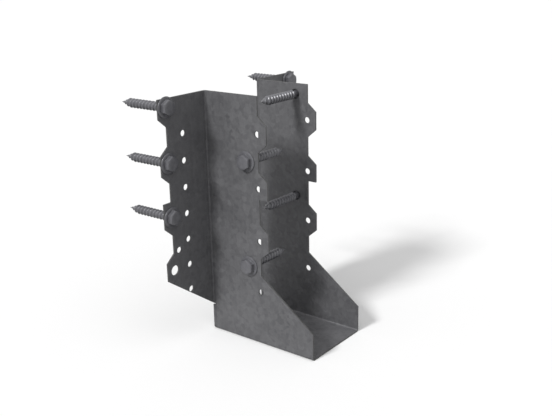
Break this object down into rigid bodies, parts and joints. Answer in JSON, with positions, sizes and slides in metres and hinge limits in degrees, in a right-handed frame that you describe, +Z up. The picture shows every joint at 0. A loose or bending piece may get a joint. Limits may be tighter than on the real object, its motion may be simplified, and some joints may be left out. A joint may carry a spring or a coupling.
{
  "type": "joist hanger",
  "caption": "Face-fixed joist hanger folded from one galvanised steel sheet, with a seat, side plates and lobed flanges, and the hexagon washer-head screws that fix it.",
  "frame": {"origin": "on the joist's centre line, where the seat's bearing face meets the plane of the header's face", "axes": "+Z up, +Y into the header, so the joist runs along -Y; X across the joist"},
  "size_m": [0.1256, 0.111, 0.1533],
  "materials": {
    "galvanised_sheet": "dull grey galvanised, faintly mottled",
    "screw_steel": "bluish zinc plate"
  },
  "bodies": {
    "root": {"hanger": "galvanised_sheet", "header_screws_left": "screw_steel", "header_screws_right": "screw_steel", "joist_screws_left": "screw_steel", "joist_screws_right": "screw_steel"}
  },
  "joints": []
}
